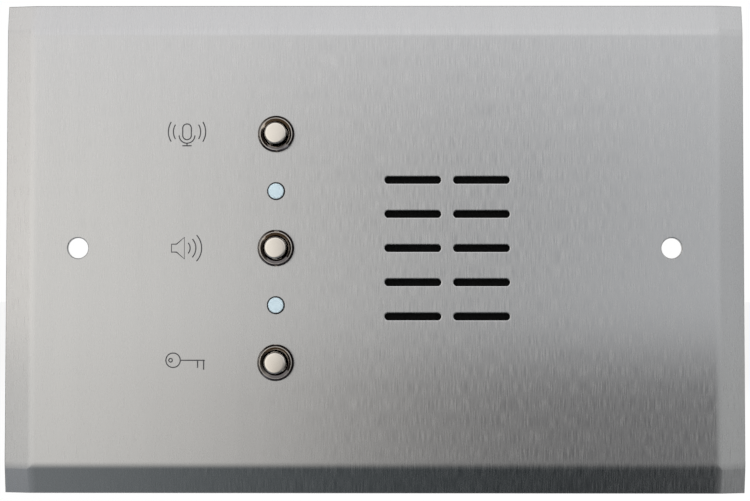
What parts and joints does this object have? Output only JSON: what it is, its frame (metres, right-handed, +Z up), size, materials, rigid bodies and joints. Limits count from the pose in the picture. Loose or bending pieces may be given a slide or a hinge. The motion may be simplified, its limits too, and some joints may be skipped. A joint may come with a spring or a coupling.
{
  "type": "intercom room station",
  "caption": "Flat wall intercom station: brushed steel plate with bent-back border, chrome push buttons, pilot lamps and slotted loudspeaker, with its works on the back.",
  "frame": {"origin": "midway between the two fixing holes, on the back of the plate's flat", "axes": "+X to the right seen from the front, +Y back into the wall, +Z up; the front faces -Y"},
  "size_m": [0.2064, 0.0388, 0.1366],
  "materials": {
    "plate_steel": "stainless, brushed top to bottom",
    "zinc_steel": "zinc plated fasteners and speaker steel",
    "chrome": "polished chrome",
    "speaker_cloth": "black acoustic cloth",
    "gasket_board": "dark pulp board",
    "basket_paint": "black painted pressed steel",
    "surround_foam": "treated foam roll",
    "cone_paper": "black pulp paper",
    "former_paper": "kraft paper former",
    "copper": "enamelled copper wire",
    "spider_cloth": "resin stiffened cloth",
    "ferrite": "sintered ferrite",
    "tag_phenolic": "paper phenolic",
    "tinned_brass": "tinned brass",
    "tinsel": "copper tinsel braid",
    "red_pvc": "red insulation",
    "black_pvc": "black insulation",
    "switch_moulding": "black moulded case",
    "spring_steel": "drawn steel wire",
    "lamp_lens": "pale blue diffused lens",
    "tinned_wire": "tinned wire",
    "spacer_nylon": "natural nylon",
    "board_laminate": "green laminate",
    "standoff_brass": "turned brass",
    "terminal_moulding": "green moulded plastic",
    "resistor_lacquer": "lacquered body with bands",
    "diode_epoxy": "black epoxy with a band",
    "capacitor_sleeve": "shrink sleeve"
  },
  "bodies": {
    "station": {"face_plate": "plate_steel", "speaker_studs": "zinc_steel", "board_studs": "zinc_steel", "speaker_cloth": "speaker_cloth", "speaker_gasket": "gasket_board", "speaker_basket": "basket_paint", "cone_surround": "surround_foam", "cone_spider": "spider_cloth", "magnet_top_plate": "zinc_steel", "magnet_ring": "ferrite", "magnet_yoke": "zinc_steel", "tag_board": "tag_phenolic", "tag_rivets": "zinc_steel", "speaker_tags": "tinned_brass", "tinsel_leads": "tinsel", "speaker_washers": "zinc_steel", "speaker_nuts": "zinc_steel", "red_speaker_lead": "red_pvc", "black_speaker_lead": "black_pvc", "button_washers": "zinc_steel", "button_nuts": "zinc_steel", "upper_lamp": "lamp_lens", "lower_lamp": "lamp_lens", "lamp_leads": "tinned_wire", "lamp_spacers": "spacer_nylon", "circuit_board": "board_laminate", "board_standoffs": "standoff_brass", "board_screws": "zinc_steel", "terminal_block": "terminal_moulding", "terminal_cages": "zinc_steel", "terminal_screws": "zinc_steel", "terminal_pins": "tinned_wire", "resistors": "resistor_lacquer", "diodes": "diode_epoxy", "capacitor": "capacitor_sleeve", "talk_bushing": "chrome", "talk_spring": "spring_steel", "talk_case": "switch_moulding", "talk_terminals": "tinned_brass", "listen_bushing": "chrome", "listen_spring": "spring_steel", "listen_case": "switch_moulding", "listen_terminals": "tinned_brass", "door_bushing": "chrome", "door_spring": "spring_steel", "door_case": "switch_moulding", "door_terminals": "tinned_brass"},
    "talk_button": {"talk_plunger": "chrome", "talk_contact": "tinned_brass"},
    "listen_button": {"listen_plunger": "chrome", "listen_contact": "tinned_brass"},
    "door_button": {"door_plunger": "chrome", "door_contact": "tinned_brass"},
    "diaphragm": {"speaker_cone": "cone_paper", "dust_cap": "cone_paper", "coil_former": "former_paper", "coil_winding": "copper"}
  },
  "joints": [
    {"name": "talk_press", "type": "slide", "parent": "station", "child": "talk_button", "axis": [0, 1, 0], "range_m": [0, 0.002], "stiffness_N_per_m": 500, "springref_m": -0.002, "deforming": ["talk_spring"]},
    {"name": "listen_press", "type": "slide", "parent": "station", "child": "listen_button", "axis": [0, 1, 0], "range_m": [0, 0.002], "stiffness_N_per_m": 500, "springref_m": -0.002, "deforming": ["listen_spring"]},
    {"name": "door_press", "type": "slide", "parent": "station", "child": "door_button", "axis": [0, 1, 0], "range_m": [0, 0.002], "stiffness_N_per_m": 500, "springref_m": -0.002, "deforming": ["door_spring"]},
    {"name": "cone_travel", "type": "slide", "parent": "station", "child": "diaphragm", "axis": [0, 1, 0], "range_m": [-0.0008, 0.0008], "stiffness_N_per_m": 1500, "deforming": ["cone_surround", "cone_spider", "tinsel_leads"]}
  ]
}
